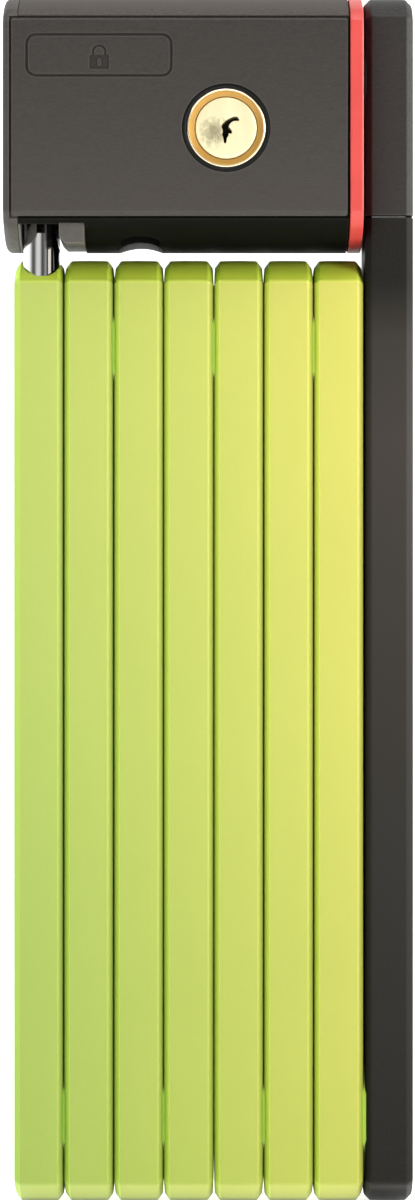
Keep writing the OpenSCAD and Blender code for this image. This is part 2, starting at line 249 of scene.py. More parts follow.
def grain_material(name, lo=(0.0142, 0.0123, 0.0107), hi=(0.0268, 0.0232, 0.0205), dirt_and_crevice_shade=None, low=1.8):
    """Moulded cover with a fine leather grain; painted light makes it lighter towards its foot."""
    k = Mat(name)
    warp = k.mapping((0.5, 0.8, 1.4))
    pebble = k.voronoi(1450, "DISTANCE_TO_EDGE", k.noise_vec(warp, 600, 0.0011))
    ridge = k.noise(1250, 4, 0.6, 1.4, warp)
    fine = k.noise(4200, 3, 0.6)
    edge = k.remap(pebble, 0.0, 0.22, 0, 1)
    h = k.math("ADD", k.math("MULTIPLY", edge, 0.28), k.math("ADD", k.math("MULTIPLY", ridge, 1.0), k.math("MULTIPLY", fine, 0.2)))
    # painted light: the cover turns lighter towards its foot, by the factor low
    z = k.remap(k.xyz()[2], 0.148, 0.178, 1, 0)
    base = k.ramp(k.remap(h, 0.45, 1.15, 0, 1), [(0, lo), (1, hi)])
    base = k.mix(k.math("MULTIPLY", z, 0.56), base, tuple(c * low for c in hi))
    # lighter outer edges: partly rubbed wear, partly a painted edge highlight
    base = k.mix(k.math("MULTIPLY", k.edge_wear_and_highlight(), 0.6), base, (0.075, 0.070, 0.065))
    # painted shade: darker deep in crevices and between parts, from an ambient occlusion mask
    if dirt_and_crevice_shade:
        base = k.mix(k.cavity(*dirt_and_crevice_shade), tuple(c * 0.15 for c in lo), base)
    return k.set(color=base, rough=k.remap(h, 0.4, 1.2, 0.62, 0.46), spec=0.36,
                 normal=k.bump(h, 0.46, 0.00016))


def _noise_vec(self, vec, scale, amount):
    n = self.t.nodes.new("ShaderNodeTexNoise")
    n.inputs["Scale"].default_value = scale
    n.inputs["Detail"].default_value = 2
    self.link(vec, n.inputs["Vector"])
    c = self.t.nodes.new("ShaderNodeVectorMath")
    c.operation = "SUBTRACT"
    c.inputs[1].default_value = (0.5, 0.5, 0.5)
    self.link(n.outputs["Color"], c.inputs[0])
    s = self.t.nodes.new("ShaderNodeVectorMath")
    s.operation = "SCALE"
    s.inputs["Scale"].default_value = amount
    self.link(c.outputs[0], s.inputs[0])
    a = self.t.nodes.new("ShaderNodeVectorMath")
    a.operation = "ADD"
    self.link(vec, a.inputs[0])
    self.link(s.outputs[0], a.inputs[1])
    return a.outputs[0]


Mat.noise_vec = _noise_vec


def metal_material(name, dark, light, rough=(0.12, 0.22), scale=(40, 40, 2400), grain=0.03, dirt_and_crevice_shade=(0.08, 0.06, 0.04), dirt_amt=0.15, metal=1.0, painted_reflection=None, front=None):
    k = Mat(name)
    vec = k.mapping(scale)
    lines = k.noise(1.0, 4, 0.6, 0, vec)
    cloud = k.noise(220, 4)
    base = k.ramp(k.remap(lines, 0.3, 0.7, 0, 1), [(0, dark), (1, light)])
    base = k.mix(k.remap(cloud, 0.55, 0.8, 0, dirt_amt), base, dirt_and_crevice_shade)
    # painted reflection: a soft warped darker blot around (cx, cz) stands in for a reflection
    if painted_reflection:
        cx, cz, r, tone, amount = painted_reflection
        x, _, z = k.xyz()
        dx, dz = k.math("SUBTRACT", x, cx), k.math("SUBTRACT", z, cz)
        d = k.math("SQRT", k.math("ADD", k.math("MULTIPLY", dx, dx), k.math("MULTIPLY", dz, dz)), 0)
        warp = k.math("MULTIPLY", k.math("SUBTRACT", k.noise(900, 2, 0.5, 1.5), 0.5), r * 1.6)
        base = k.mix(k.remap(k.math("ADD", d, warp), r * 0.15, r * 1.05, amount, 0), base, tone)
    # painted reflection: a tint by which way the surface faces, bright on the left and near black on the right, on the
    # front region only
    if front:
        t = k.t.nodes.new("ShaderNodeTexCoord")
        sep = k.t.nodes.new("ShaderNodeSeparateXYZ")
        k.link(t.outputs["Normal"], sep.inputs[0])
        tint = k.ramp(k.remap(sep.outputs[0], -1, 1, 0, 1), [((a + 1) / 2, c) for a, c in front])
        base = k.mix(k.remap(k.xyz()[1], -0.0062, -0.0058, 1, 0), base, tint)
    return k.set(color=base, metal=metal, rough=k.remap(lines, 0.3, 0.7, *rough),
                 normal=k.bump(lines, grain, 0.00005))


def red_material():
    k = Mat("plate_red")
    fine = k.noise(2000, 3)
    cloud = k.noise(120, 3)
    base = k.ramp(k.remap(cloud, 0.3, 0.7, 0, 1), [(0, (0.50, 0.046, 0.040)), (1, (0.56, 0.058, 0.052))])
    base = k.mix(k.remap(fine, 0.5, 0.8, 0, 0.12), base, (0.62, 0.11, 0.095))
    return k.set(color=base, rough=k.remap(fine, 0.3, 0.7, 0.36, 0.46), spec=0.5, normal=k.bump(fine, 0.06, 0.00006))


LIME = lime_material()
LIME_DISC = lime_material("spacer_green", (0.82, 1.22, 0.55))
# case_black: lighter above z 158 to 170 mm, painted light on the top of the case
BLACK = black_material("case_black", (0.0024, 0.0024, 0.0020), (0.55, 0.66), 0.045, 0.16, 2200,
                       top=(0.158, 0.170, (0.062, 0.056, 0.051), (0.098, 0.088, 0.080)))
# sleeve_black: painted light and shade along its height, and painted shade in its crevices
SLEEVE = black_material("sleeve_black", (0.0125, 0.012, 0.0105), (0.46, 0.58), 0.10, 0.14, 2600, dirt_and_crevice_shade=(0.004, 0.45, 0.97),
                        painted_shading_by_height=[(0.0, (0.050, 0.045, 0.041)), (0.0032, (0.050, 0.045, 0.041)), (0.0036, (0.0078, 0.0074, 0.0060)), (0.055, (0.0200, 0.0190, 0.0167)),
                               (0.091, (0.0315, 0.0280, 0.0253)), (0.115, (0.0400, 0.0352, 0.0317)), (0.130, (0.0330, 0.0295, 0.0260)),
                               (0.1385, (0.0082, 0.0080, 0.0066)), (0.15, (0.0080, 0.0078, 0.0064))])
RING = black_material("ring_black", (0.004, 0.0045, 0.004), (0.30, 0.40), 0.12, 0.05, 2600)
GRAIN = grain_material("cover_grain")
# cap_grain: painted shade in its crevices
GRAIN_CAP = grain_material("cap_grain", (0.0078, 0.0075, 0.0062), (0.0132, 0.0128, 0.0108), dirt_and_crevice_shade=(0.004, 0.45, 0.97), low=1.0)
GRAIN_END = grain_material("end_grain", (0.034, 0.030, 0.027), (0.056, 0.050, 0.045), low=0.8)
SIGN = black_material("sign_fill", (0.018, 0.017, 0.015), (0.5, 0.6), 0.2, 0.1, 2600)
LINER = black_material("liner_grey", (0.060, 0.056, 0.051), (0.5, 0.6), 0.3, 0.18, 2000)
STEEL = metal_material("steel", (0.42, 0.43, 0.45), (0.62, 0.63, 0.65), (0.28, 0.42), (2400, 2400, 60), 0.06)
# the bolt head's rounded front gets painted reflection bands by facing, near black on its right flank
CHROME = metal_material("bolt_steel", (0.72, 0.73, 0.75), (0.82, 0.83, 0.84), (0.06, 0.12), (900, 900, 60), 0.015, (0.3, 0.3, 0.32), 0.1,
                        front=[(-1, (0.98, 0.98, 0.97)), (-0.45, (0.98, 0.98, 0.97)), (-0.38, (0.84, 0.83, 0.82)), (0.26, (0.84, 0.83, 0.82)),
                               (0.33, (0.075, 0.074, 0.073)), (0.50, (0.075, 0.074, 0.073)), (0.56, (0.06, 0.06, 0.06)), (0.64, (0.012, 0.012, 0.012)), (1, (0.012, 0.012, 0.012))])
BRASS = metal_material("brass", (0.42, 0.232, 0.043), (0.47, 0.262, 0.053), (0.32, 0.40), (60, 2000, 60), 0.015, metal=0.3)
# a paler, glossier copy of the brass for the housing rim: the glossier finish is the rim's own, the paler colour is a
# painted highlight
BRASS_RIM_HIGHLIGHT = metal_material("brass_rim_highlight", (0.95, 0.80, 0.52), (1.0, 0.88, 0.66), (0.14, 0.22), (60, 2000, 60), 0.02, (0.5, 0.35, 0.15), 0.08)
# the plug face carries a painted darker reflection left of the keyway
PLUG = metal_material("plug_brass", (0.70, 0.635, 0.40), (0.76, 0.70, 0.455), (0.30, 0.38), (500, 60, 60), 0.008, (0.46, 0.40, 0.24), 0.35, 0.2,
                     painted_reflection=(0.0008, 0.1605, 0.0023, (0.20, 0.18, 0.105), 0.8))
RED = red_material()


# ---------------------------------------------------------------- mesh tools
def arc(cy, cz, r, a0, a1, n):
    return [(cy + r * math.cos(math.radians(a0 + (a1 - a0) * i / n)), cz + r * math.sin(math.radians(a0 + (a1 - a0) * i / n)))
            for i in range(n + 1)]


def fillet(pts, radii, n=4):
    """Round the polygon's corners listed in radii {index: radius}."""
    out = []
    m = len(pts)
    for i, p in enumerate(pts):
        if i not in radii:
            out.append(p)
            continue
        a, b, c = Vector(pts[i - 1]), Vector(p), Vector(pts[(i + 1) % m])
        u, v = (a - b).normalized(), (c - b).normalized()
        half = math.acos(max(-1, min(1, u.dot(v)))) / 2
        t = radii[i] / math.tan(half)
        t = min(t, 0.9 * (a - b).length, 0.9 * (c - b).length)
        r = t * math.tan(half)
        centre = b + (u + v).normalized() * (r / math.sin(half))
        p0, p1 = b + u * t, b + v * t
        d0, d1 = p0 - centre, p1 - centre
        a0, a1 = math.atan2(d0.y, d0.x), math.atan2(d1.y, d1.x)
        da = (a1 - a0 + math.pi) % (2 * math.pi) - math.pi
        for s in range(n + 1):
            a_ = a0 + da * s / n
            out.append((centre.x + r * math.cos(a_), centre.y + r * math.sin(a_)))
    return out


def bar_outline(hw, z0, z1, r, rc, n=20):
    a = math.degrees(math.asin(hw / r))
    top = arc(0, z1 - r, r, 90 - a, 90 + a, n)
    low = arc(0, z0 + r, r, 270 - a, 270 + a, n)
    pts = top + low
    k = len(top)
    return fillet(pts, {0: rc, k - 1: rc, k: rc, len(pts) - 1: rc}, 5)


def normals2(pts):
    """Outward mitre vector at each vertex of a counter-clockwise outline."""
    out = []
    m = len(pts)
    for i in range(m):
        a, b, c = Vector(pts[i - 1]), Vector(pts[i]), Vector(pts[(i + 1) % m])
        d0, d1 = (b - a).normalized(), (c - b).normalized()
        n0, n1 = Vector((d0.y, -d0.x)), Vector((d1.y, -d1.x))
        s = n0 + n1
        s.normalize()
        out.append(s / max(0.5, s.dot(n0)))
    return out


def to_object(bm, name, mat, body, node=(), smooth=True, weighted=True):
    for v in bm.verts:
        v.co *= MM
    bmesh.ops.recalc_face_normals(bm, faces=bm.faces)
    me = bpy.data.meshes.new(name)
    bm.to_mesh(me)
    bm.free()
    ob = bpy.data.objects.new(name, me)
    scene.collection.objects.link(ob)
    me.materials.append(mat)
    for p in me.polygons:
        p.use_smooth = smooth
    if body:
        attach(ob, body)
        if node:
            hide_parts(*node)
    return ob


def soft_chamfer(w, d, r=0.3, n=4):
    """Edge section, as (in from the flank, down from the face): a chamfer with eased corners."""
    pts = fillet([(0.0, d + 0.9), (0.0, d), (w, 0.0), (w + 0.9, 0.0)], {1: r, 2: r}, n)
    return [(max(0.0, a), max(0.0, b)) for a, b in pts[1:-1]]


def slab_bm(outline, x0, x1, r0, r1, n=5, crown=0.0, mids=6, taper=None, shrink=(), edge=None, offset=None):
    """A plate between x0 and x1 with this (y, z) outline, its edges rounded by r0 and r1.
    taper(z) draws the flanks in near the ends; shrink lists extra inner rings for it."""
    nor = normals2(outline)
    rings = []
    for i in range(n + 1):
        t = math.radians(90 * i / n)
        rings.append((x0 + r0 - r0 * math.cos(t), r0 - r0 * math.sin(t)))
    if edge:
        r0 = r1 = edge[0][1]
        rings = [(x0 + a, b) for a, b in edge]
    xm0, xm1 = (x0 + edge[-1][0], x1 - edge[-1][0]) if edge else (x0 + r0, x1 - r1)
    if crown > 0:
        for i in range(1, mids):
            u = 2 * i / mids - 1
            rings.append((xm0 + (xm1 - xm0) * i / mids, -crown * (1 - u * u)))
    if edge:
        rings += [(x1 - a, b) for a, b in reversed(edge)]
    else:
        for i in range(n, -1, -1):
            t = math.radians(90 * i / n)
            rings.append((x1 - r1 + r1 * math.cos(t), r1 - r1 * math.sin(t)))
    bm = bmesh.new()
    rows = []
    xc = (x0 + x1) / 2
    zs = [p[1] for p in outline]
    za, zb = min(zs) + 10, max(zs) - 10

    def inset(d):
        if offset:
            return offset(d)
        return [(p[0] - q.x * d, p[1] - q.y * d) for p, q in zip(outline, nor)]

    def place(x, y, z):
        if taper:
            x = xc + (x - xc) * (1 - taper(z) / (0.5 * (x1 - x0)))
        return bm.verts.new((x, y, z))

    def inner(x, f):
        row = []
        for y, z in inset(r0 if x == x0 else r1):
            c = min(max(z, za), zb)
            row.append(place(x, y * f, c + (z - c) * f))
        return row

    for f in reversed(shrink):
        rows.append(inner(x0, f))
    for x, d in rings:
        rows.append([place(x, y, z) for y, z in inset(d)])
    for f in shrink:
        rows.append(inner(x1, f))
    m = len(outline)
    for a, b in zip(rows, rows[1:]):
        for i in range(m):
            j = (i + 1) % m
            bm.faces.new((a[i], a[j], b[j], b[i]))
    bm.faces.new(list(reversed(rows[0])))
    bm.faces.new(rows[-1])
    return bm


def box_bm(x0, x1, y0, y1, z0, z1):
    bm = bmesh.new()
    bmesh.ops.create_cube(bm, size=1)
    for v in bm.verts:
        v.co = Vector(((x0 + x1) / 2 + v.co.x * (x1 - x0), (y0 + y1) / 2 + v.co.y * (y1 - y0), (z0 + z1) / 2 + v.co.z * (z1 - z0)))
    return bm


def prism_bm(pts, a0, a1, along="Y"):
    """Extrude an outline: (x, z) points along Y, (y, z) along X, (x, y) along Z."""
    bm = bmesh.new()

    def put(p, a):
        if along == "Y":
            return (p[0], a, p[1])
        if along == "X":
            return (a, p[0], p[1])
        return (p[0], p[1], a)

    lo = [bm.verts.new(put(p, a0)) for p in pts]
    hi = [bm.verts.new(put(p, a1)) for p in pts]
    m = len(pts)
    for i in range(m):
        j = (i + 1) % m
        bm.faces.new((lo[i], lo[j], hi[j], hi[i]))
    bm.faces.new(lo[::-1])
    bm.faces.new(hi)
    bmesh.ops.recalc_face_normals(bm, faces=bm.faces)
    return bm


def disc_pts(cx, cz, r, n=64):
    return [(cx + r * math.cos(2 * math.pi * i / n), cz + r * math.sin(2 * math.pi * i / n)) for i in range(n)]


def ellipse_pts(cx, cz, a, b, n=64):
    return [(cx + a * math.cos(2 * math.pi * i / n), cz + b * math.sin(2 * math.pi * i / n)) for i in range(n)]


def round_rect(x0, x1, z0, z1, r, n=6):
    pts = []
    for cx, cz, a in ((x1 - r, z1 - r, 0), (x0 + r, z1 - r, 90), (x0 + r, z0 + r, 180), (x1 - r, z0 + r, 270)):
        pts += arc(cx, cz, r, a, a + 90, n)
    return pts


def temp(bm):
    ob = to_object(bm, "tmp", LIME, None)
    return ob


def boolean(ob, bm, op="DIFFERENCE"):
    cut = temp(bm)
    m = ob.modifiers.new("b", "BOOLEAN")
    m.operation = op
    m.solver = "EXACT"
    m.object = cut
    bpy.context.view_layer.update()
    dg = bpy.context.evaluated_depsgraph_get()
    me = bpy.data.meshes.new_from_object(ob.evaluated_get(dg))
    ob.modifiers.remove(m)
    old = ob.data
    ob.data = me
    bpy.data.meshes.remove(old)
    bpy.data.objects.remove(cut)
    return ob


def tidy(ob, dist=0.00001, angle=0.0):
    """Merge doubles and drop the slivers that booleans leave."""
    bm = bmesh.new()
    bm.from_mesh(ob.data)
    bmesh.ops.remove_doubles(bm, verts=bm.verts, dist=dist)
    bmesh.ops.dissolve_degenerate(bm, dist=dist, edges=bm.edges)
    bmesh.ops.recalc_face_normals(bm, faces=bm.faces)
    bm.to_mesh(ob.data)
    bm.free()
    for p in ob.data.polygons:
        p.use_smooth = True


def bake_bevel(ob, width, segs, angle):
    """Round the edges now, so that later cuts stay crisp."""
    m = ob.modifiers.new("bevel", "BEVEL")
    m.width = width * MM
    m.segments = segs
    m.limit_method = "ANGLE"
    m.angle_limit = math.radians(angle)
    bpy.context.view_layer.update()
    dg = bpy.context.evaluated_depsgraph_get()
    me = bpy.data.meshes.new_from_object(ob.evaluated_get(dg))
    ob.modifiers.remove(m)
    old = ob.data
    ob.data = me
    bpy.data.meshes.remove(old)


def finish_piece(ob, bevel=0.0, segs=2, angle=35, smooth=35):
    if bevel:
        m = ob.modifiers.new("bevel", "BEVEL")
        m.width = bevel * MM
        m.segments = segs
        m.limit_method = "ANGLE"
        m.angle_limit = math.radians(angle)
        m.use_clamp_overlap = True
        m.harden_normals = False
    for p in ob.data.polygons:
        p.use_smooth = True
    # split normals where the surface really turns
    me = ob.data
    bm = bmesh.new()
    bm.from_mesh(me)
    for e in bm.edges:
        e.smooth = not (len(e.link_faces) == 2 and e.calc_face_angle(0) > math.radians(smooth)) or bool(bevel)
    bm.to_mesh(me)
    bm.free()
    w = ob.modifiers.new("wn", "WEIGHTED_NORMAL")
    w.keep_sharp = True
    w.mode = "FACE_AREA"
    w.weight = 100
    return ob


# ---------------------------------------------------------------- the bars
HW, BAR_H, END_R = 10.0, 142.4, 16.0
OUT = bar_outline(HW, 0, BAR_H, END_R, 0.6)


def bar_offset(h, rc):
    """The bar's outline drawn in by d all round, with the same number of points."""
    return lambda d: bar_outline(HW - d, d, h - d, END_R - d, max(rc - d, 0.06))


BAR_EDGE = soft_chamfer(0.78, 1.05, 0.45, 5)
xs = {k: -25.5 + 7.5 * (k - 1) for k in range(1, 8)}


def end_taper(z):
    """How far each flank is drawn in, close to a bar's ends."""
    d = min(z, BAR_H - z)
    t = max(0.0, 1 - d / 7.0)
    return 0.22 * t * t


HEAD_X = -25.2
for k in range(1, 8):
    body = f"link_{k}"
    half = 3.77 if k == 4 else 3.72
    bm = slab_bm(OUT, xs[k] - half, xs[k] + half, 0.95, 0.95, 7, 0.04, 6, end_taper, (0.86, 0.72, 0.5), BAR_EDGE, bar_offset(BAR_H, 0.6))
    ob = to_object(bm, f"bar_skin_{k}", LIME, body, (f"sleeve_{k}",))
    if k == 1:
        boolean(ob, prism_bm([(HEAD_X + 2.95 * math.copysign(abs(math.cos(2 * math.pi * i / 64)) ** 0.8, math.cos(2 * math.pi * i / 64)),
                               143.1 + 3.5 * math.copysign(abs(math.sin(2 * math.pi * i / 64)) ** 0.8, math.sin(2 * math.pi * i / 64))) for i in range(64)], -14, 14, "Y"))
        tidy(ob)
        finish_piece(ob, 0.22, 3, 40)
    else:
        finish_piece(ob)

for k in (2, 3, 4, 5, 6, 7, 8):
    x1 = 23.45 if k == 8 else xs[k] - 3.72
    x0 = xs[k - 1] + 3.72
    z = 13.5 if k % 2 == 0 else 128.9
    pts = [(min(9.2, max(-9.2, 9.9 * math.cos(2 * math.pi * (i + 0.5) / 96))), z + 9.9 * math.sin(2 * math.pi * (i + 0.5) / 96)) for i in range(96)]
    bm = slab_bm(pts, x0 - 0.2, x1 + 0.2, 0.08, 0.05, 3)
    ob = to_object(bm, f"pivot_disc_{k}", LIME_DISC, "outer_link" if k == 8 else f"link_{k}", (f"spacer_{k}",))
    finish_piece(ob)

# ---------------------------------------------------------------- outer bar
OX0, OX1 = 23.45, 30.65
OO = bar_outline(HW, 0, 182, END_R, 0.7)
for name, z0, z1, mat, node, slot in (
    ("outer_skin", -5, 148.3, SLEEVE, "outer_sleeve", "sleeve_black"),
    ("pivot_cap_skin", 148.62, 190, GRAIN_CAP, "pivot_cap", "sleeve_black"),
):
    ob = to_object(slab_bm(OO, OX0, OX1, 1.05, 1.1, 7, 0.03, edge=soft_chamfer(0.95, 0.95, 0.5, 5), offset=bar_offset(182, 0.7)), name, mat, "outer_link", (node,))
    boolean(ob, box_bm(20, 34, -14, 14, z0, z1), "INTERSECT")
    tidy(ob)
    finish_piece(ob, 0.10, 2, 45)

pts = [(9.6 * math.cos(2 * math.pi * i / 72), 169.5 + 9.6 * math.sin(2 * math.pi * i / 72)) for i in range(72)]
ob = to_object(slab_bm(pts, OX0 - 0.3, OX0 + 0.3, 0.1, 0.05, 3), "swivel_disc", SLEEVE, "outer_link", ("swivel_washer",))
finish_piece(ob)


# ---------------------------------------------------------------- lock case
def case_outline(rc=1.4):
    """Outline of the case from its arched top and bottom and rounded corners."""
    def side(y):
        top = 148 + math.sqrt(34 * 34 - y * y)
        low = 177.7 - math.sqrt(34 * 34 - y * y)
        w = math.sqrt(max(0, 21.4 * 21.4 - y * y))
        return min(top, 163 + w), max(low, 163 - w)

    ys = [16 * math.sin(math.radians(90 * i / 22)) for i in range(22, -23, -1)]
    ys = [16 * (i / 26) for i in range(26, -27, -1)]
    top = [(y, side(y)[0]) for y in ys]
    low = [(y, side(y)[1]) for y in reversed(ys)]
    pts = top + low
    k = len(top)
    return fillet(pts, {0: 0.5, k - 1: 0.5, k: 0.5, len(pts) - 1: 0.5}, 3)


CO = case_outline()
RECESS = (-29.7, 24.0, -20.0, -14.8, 147.75, 177.9)


def socket_bm():
    """Room for the bolt head: a roof round the swivel axis, open behind."""
    pts = [(-14.2, 140.0)]
    a0 = math.degrees(math.atan2(-math.sqrt(19.4 ** 2 - 14.2 ** 2), -14.2)) % 360
    a1 = math.degrees(math.atan2(-math.sqrt(19.4 ** 2 - 17.0 ** 2), 17.0)) % 360
    pts += arc(0, 169.5, 19.4, a0, a1, 28)
    pts += [(26, pts[-1][1]), (26, 140)]
    return prism_bm(pts, -31.0, -22.35, "X")


shell = to_object(slab_bm(CO, -28.4, 20.85, 0.12, 0.12, 3), "case_moulding", BLACK, "lock_case", ("case_shell",))
boolean(shell, box_bm(*RECESS))
boolean(shell, socket_bm())
boolean(shell, box_bm(-22.4, -18.5, -13.9, 30, 140, 153))
boolean(shell, prism_bm([(-21.9, 147.2), (-22.5, 147.2), (-22.5, 140), (-18.4, 140), (-18.4, 147.2)], -30, -13.5, "Y"))
boolean(shell, prism_bm(ellipse_pts(-10.25, 141.3, 4.6, 3.6, 64), -7.5, 30, "Y"))
boolean(shell, prism_bm([(p[0], p[1]) for p in disc_pts(-10.25, -7.6, 3.15, 48)], 138, 147.2, "Z"))
boolean(shell, prism_bm(disc_pts(2.6, 161.2, 6.6, 96), -30, -12.4, "Y"))
boolean(shell, box_bm(-18.4, 18.4, 14.3, 30, 140, 173.4))
boolean(shell, box_bm(-17, 11, 7.7, 30, 145.9, 167.2))
boolean(shell, box_bm(-25, -13, 9.5, 30, 145.9, 150.9))
tidy(shell)
finish_piece(shell, 0.13, 2, 32)

cap = to_object(slab_bm(CO, -30.65, -28.45, 1.0, 0.12, 6, shrink=(0.9, 0.6, 0.3)), "end_moulding", GRAIN_END, "lock_case", ("case_end_cap",))
boolean(cap, box_bm(*RECESS))
tidy(cap)
finish_piece(cap, 0.10, 2, 45)

plate = to_object(slab_bm(CO, 21.05, 23.05, 0.22, 0.3, 4, shrink=(0.9, 0.6, 0.3)), "side_plate_skin", RED, "lock_case", ("side_plate",))
finish_piece(plate)

# front cover, cut from the case outline so its foot follows the rounded edge
cover = to_object(slab_bm(CO, -29.35, 20.65, 0.02, 0.02, 1), "cover_skin", GRAIN, "lock_case", ("front_cover",))
boolean(cover, prism_bm(round_rect(-29.35, 20.65, 148.15, 177.5, 0.35, 4), -18, -14.8, "Y"), "INTERSECT")
boolean(cover, prism_bm(disc_pts(2.6, 161.2, 6.58, 96), -30, 0, "Y"))
tidy(cover, 0.000004)
bake_bevel(cover, 0.16, 3, 50)
# plain framed panel with a padlock sign
fr0, fr1 = round_rect(-27.3, -5.35, 168.75, 175.3, 1.6, 8), round_rect(-26.85, -5.8, 169.2, 174.85, 1.2, 8)


def ring_bm(outer, inner, a0, a1):
    bm = bmesh.new()
    rows = [[bm.verts.new((p[0], a, p[1])) for p in loop] for loop in (outer, inner) for a in (a0, a1)]
    o0, o1, i0, i1 = rows
    m = len(outer)
    for i in range(m):
        j = (i + 1) % m
        bm.faces.new((o0[i], o0[j], o1[j], o1[i]))
        bm.faces.new((i0[j], i0[i], i1[i], i1[j]))
        bm.faces.new((o0[j], o0[i], i0[i], i0[j]))
        bm.faces.new((o1[i], o1[j], i1[j], i1[i]))
    bmesh.ops.recalc_face_normals(bm, faces=bm.faces)
    return bm


boolean(cover, ring_bm(fr0, fr1, -17, -15.68))
lx, lz = -16.3, 171.35
boolean(cover, prism_bm(round_rect(lx - 1.5, lx + 1.5, lz - 1.45, lz + 0.75, 0.3, 4), -17, -15.78, "Y"))
sh_o = [(lx + 1.1 * math.cos(math.radians(a)), lz + 1.25 + 1.0 * math.sin(math.radians(a))) for a in range(0, 181, 12)]
sh_i = [(lx + 0.68 * math.cos(math.radians(a)), lz + 1.25 + 0.6 * math.sin(math.radians(a))) for a in range(180, -1, -12)]
boolean(cover, prism_bm([(lx + 1.1, lz + 0.7)] + sh_o + [(lx - 1.1, lz + 0.7), (lx - 0.68, lz + 0.7)] + sh_i + [(lx + 0.68, lz + 0.7)], -17, -15.78, "Y"))
tidy(cover, 0.000004)
cover.data.materials.append(SIGN)
for p in cover.data.polygons:
    c = p.center / MM
    if c.z > 168.5 and c.x < -5 and -15.985 < c.y < -15.5:
        p.material_index = 1
finish_piece(cover, 0, smooth=40)
sign = to_object(prism_bm(round_rect(lx - 0.28, lx + 0.28, lz - 0.95, lz + 0.2, 0.25, 4), -15.95, -15.6, "Y"), "sign_key_slot", GRAIN, "lock_case", ("badge_bar",))
finish_piece(sign, 0.03, 2)

rear = to_object(slab_bm(CO, -18.1, 18.1, 0.02, 0.02, 1), "back_cover_skin", GRAIN_CAP, "lock_case", ("rear_cover",))
boolean(rear, prism_bm(round_rect(-18.1, 18.1, 144, 173.1, 1.0, 5), 14.35, 18, "Y"), "INTERSECT")
for sx, sz in ((-14.5, 170.2), (14.5, 152.5)):
    boolean(rear, prism_bm(disc_pts(sx, sz, 2.35, 48), 15.0, 20, "Y"))
tidy(rear)
finish_piece(rear, 0.15, 3, 45)

for name, sx, sz, node in (("back_screw_a", -14.5, 170.2, "screw_upper"), ("back_screw_b", 14.5, 152.5, "screw_lower")):
    ob = to_object(prism_bm(disc_pts(sx, sz, 2.2, 48), 14.6, 15.8, "Y"), name, STEEL, "lock_case", (node,))
    star = []
    for i in range(12):
        rr = 1.15 if i % 2 == 0 else 0.72
        a = math.radians(30 * i)
        star.append((sx + rr * math.cos(a), sz + rr * math.sin(a)))
    boolean(ob, prism_bm(star, 15.1, 17, "Y"))
    finish_piece(ob, 0.12, 3, 40)

liner = to_object(prism_bm([(-13.8, 144.2), (5.0, 144.2), (9.0, 145.05), (13.4, 146.6), (13.8, 152.8), (-13.8, 152.8)], -22.35, -18.55, "X"),
                  "socket_block", LINER, "lock_case", ("socket_liner",))
boolean(liner, prism_bm([(-24, 147.6), (-24, 140), (-20.4, 142.85), (-22.35, 145.3)], -20, 20, "Y"))
boolean(liner, box_bm(-25, -13, 9.5, 20, 145.9, 150.9))
boolean(liner, box_bm(-25, -15, -13.35, -13.0, 140, 144.5))
tidy(liner)
finish_piece(liner, 0.10, 2, 30)

cheek = to_object(slab_bm(CO, -28.40, -28.08, 0.05, 0.05, 2), "socket_cheek", LINER, "lock_case", ())
boolean(cheek, box_bm(-30, -27, -20, -14.1, 140, 190))
boolean(cheek, box_bm(-30, -27, -20, 20, 158, 190))
tidy(cheek)
finish_piece(cheek, 0.04, 1, 40)


# ---------------------------------------------------------------- key cylinder
def turned(name, profile, mat, body, node, cx=2.6, cz=161.2, n=96, bevel=0.0):
    """Revolve (radius, y) points about the cylinder's axis."""
    bm = bmesh.new()
    rows = []
    for r, y in profile:
        if r < 1e-6:
            rows.append([bm.verts.new((cx, y, cz))])
        else:
            rows.append([bm.verts.new((cx + r * math.cos(2 * math.pi * i / n), y, cz + r * math.sin(2 * math.pi * i / n))) for i in range(n)])
    for a, b in zip(rows, rows[1:]):
        for i in range(n):
            j = (i + 1) % n
            if len(a) == 1:
                bm.faces.new((a[0], b[i], b[j]))
            elif len(b) == 1:
                bm.faces.new((a[i], a[j], b[0]))
            else:
                bm.faces.new((a[i], a[j], b[j], b[i]))
    if len(rows[0]) > 1 and profile[0] != profile[-1]:
        a, b = rows[-1], rows[0]
        for i in range(n):
            j = (i + 1) % n
            bm.faces.new((a[i], a[j], b[j], b[i]))
    return to_object(bm, name, mat, body, node)


ring = turned("cylinder_collar", [(5.93, -13.0), (5.93, -15.70), (6.0, -15.86), (6.15, -15.96), (6.3, -15.97), (6.45, -15.90), (6.54, -15.74), (6.55, -15.5), (6.55, -13.0)],
              RING, "lock_case", ("cylinder_ring",))
finish_piece(ring)
hs = turned("cylinder_face", [(4.64, 7.4), (4.64, -15.10), (4.70, -15.20), (4.78, -15.24), (5.38, -15.28), (5.44, -15.32), (5.48, -15.55),
                              (5.53, -15.70), (5.62, -15.80), (5.72, -15.82), (5.82, -15.76), (5.88, -15.62), (5.9, -15.4), (5.9, 7.4)],
            BRASS, "lock_case", ("cylinder_housing",))
# the rounded outer rim takes the brass copy with a painted highlight
hs.data.materials.append(BRASS_RIM_HIGHLIGHT)
for p in hs.data.polygons:
    c = p.center
    r = math.hypot(c.x / MM - 2.6, c.z / MM - 161.2)
    if r > 5.42 and c.y / MM < -14:
        p.material_index = 1
finish_piece(hs)

